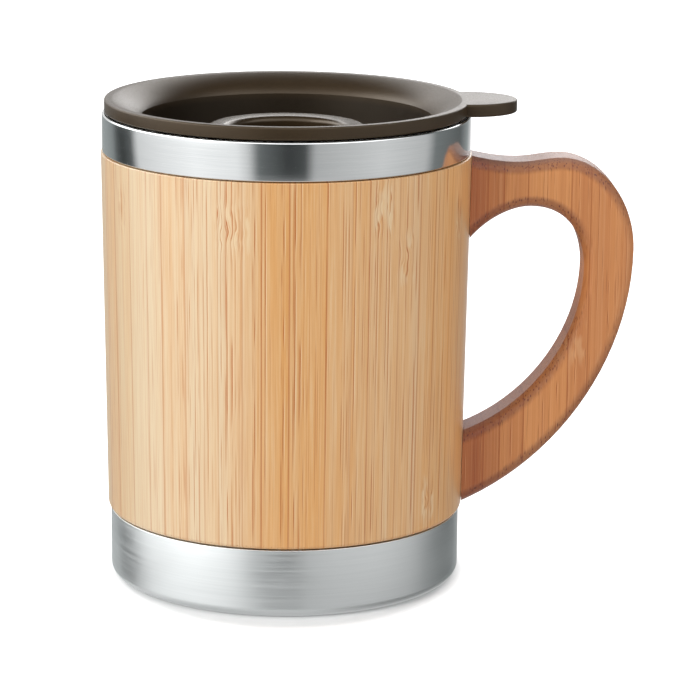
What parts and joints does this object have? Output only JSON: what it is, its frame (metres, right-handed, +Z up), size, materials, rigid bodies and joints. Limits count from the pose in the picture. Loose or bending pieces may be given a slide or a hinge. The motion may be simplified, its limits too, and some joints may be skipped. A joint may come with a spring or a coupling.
{
  "type": "double-walled cup",
  "caption": "Double-walled steel cup in a turned bamboo sleeve with a flat bamboo handle and a press-in brown lid whose turning closure opens a drinking port.",
  "frame": {"origin": "on the cup's axis, in the plane of its flat foot on the table", "axes": "+Z up along the cup's axis, +X out along the handle, +Y to the back as the picture sees it"},
  "size_m": [0.1212, 0.084, 0.1102],
  "materials": {
    "polished_steel": "polished, with faint lines around the band",
    "liner_steel": "fine satin",
    "satin_steel": "satin, brushed around the foot",
    "sleeve_bamboo": "clear satin lacquer on light bamboo strips",
    "handle_bamboo": "clear satin lacquer on caramel bamboo board",
    "screw_steel": "zinc plated",
    "lid_plastic": "fine matt brown moulding",
    "seal_silicone": "translucent white silicone"
  },
  "bodies": {
    "cup": {"outer_shell": "polished_steel", "inner_liner": "liner_steel", "base_cup": "satin_steel", "bamboo_sleeve": "sleeve_bamboo", "handle": "handle_bamboo", "upper_handle_screw": "screw_steel", "lower_handle_screw": "screw_steel"},
    "seal": {"lid_seal": "seal_silicone"},
    "lid": {"lid_body": "lid_plastic"},
    "closure": {"closure_dial": "lid_plastic", "dial_clip": "lid_plastic"}
  },
  "joints": [
    {"name": "lid_lift", "type": "slide", "parent": "cup", "child": "seal", "axis": [0, 0, 1], "range_m": [0, 0.06]},
    {"name": "lid_turn", "type": "hinge", "parent": "seal", "child": "lid", "pos_m": [0, 0, 0.1], "axis": [0, 0, 1], "continuous": true},
    {"name": "closure_turn", "type": "hinge", "parent": "lid", "child": "closure", "pos_m": [0, 0, 0.1], "axis": [0, 0, 1], "range_deg": [0, 90]}
  ]
}
